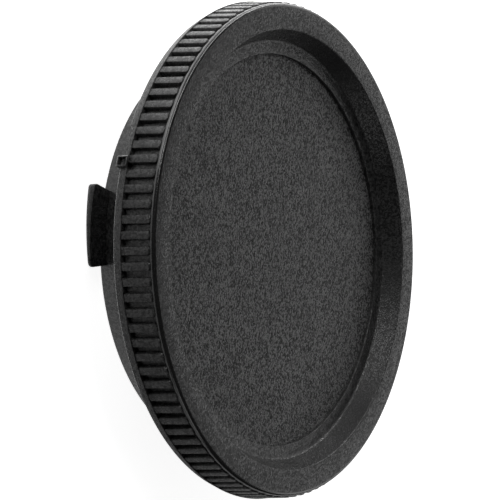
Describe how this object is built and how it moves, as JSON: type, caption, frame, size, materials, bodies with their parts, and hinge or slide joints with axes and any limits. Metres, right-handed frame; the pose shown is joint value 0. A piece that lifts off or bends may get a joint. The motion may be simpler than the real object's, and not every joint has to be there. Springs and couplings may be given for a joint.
{
  "type": "camera body cap",
  "caption": "Round black plastic bayonet cap that closes a camera's lens mount, with a ridged grip edge, a dished grained front, a hollow collar and locking lugs.",
  "frame": {"origin": "on the cap's axis, in the plane of the collar's rear rim, on which the cap lies", "axes": "+Z along the cap's axis from the rear rim towards the grained front face, +X and +Y across it, with the index pad on the rear band at 162.4 degrees from +X towards +Y"},
  "size_m": [0.061, 0.061, 0.012],
  "materials": {
    "body_cap": "satin"
  },
  "bodies": {
    "root": {"body_cap": "body_cap"}
  },
  "joints": []
}
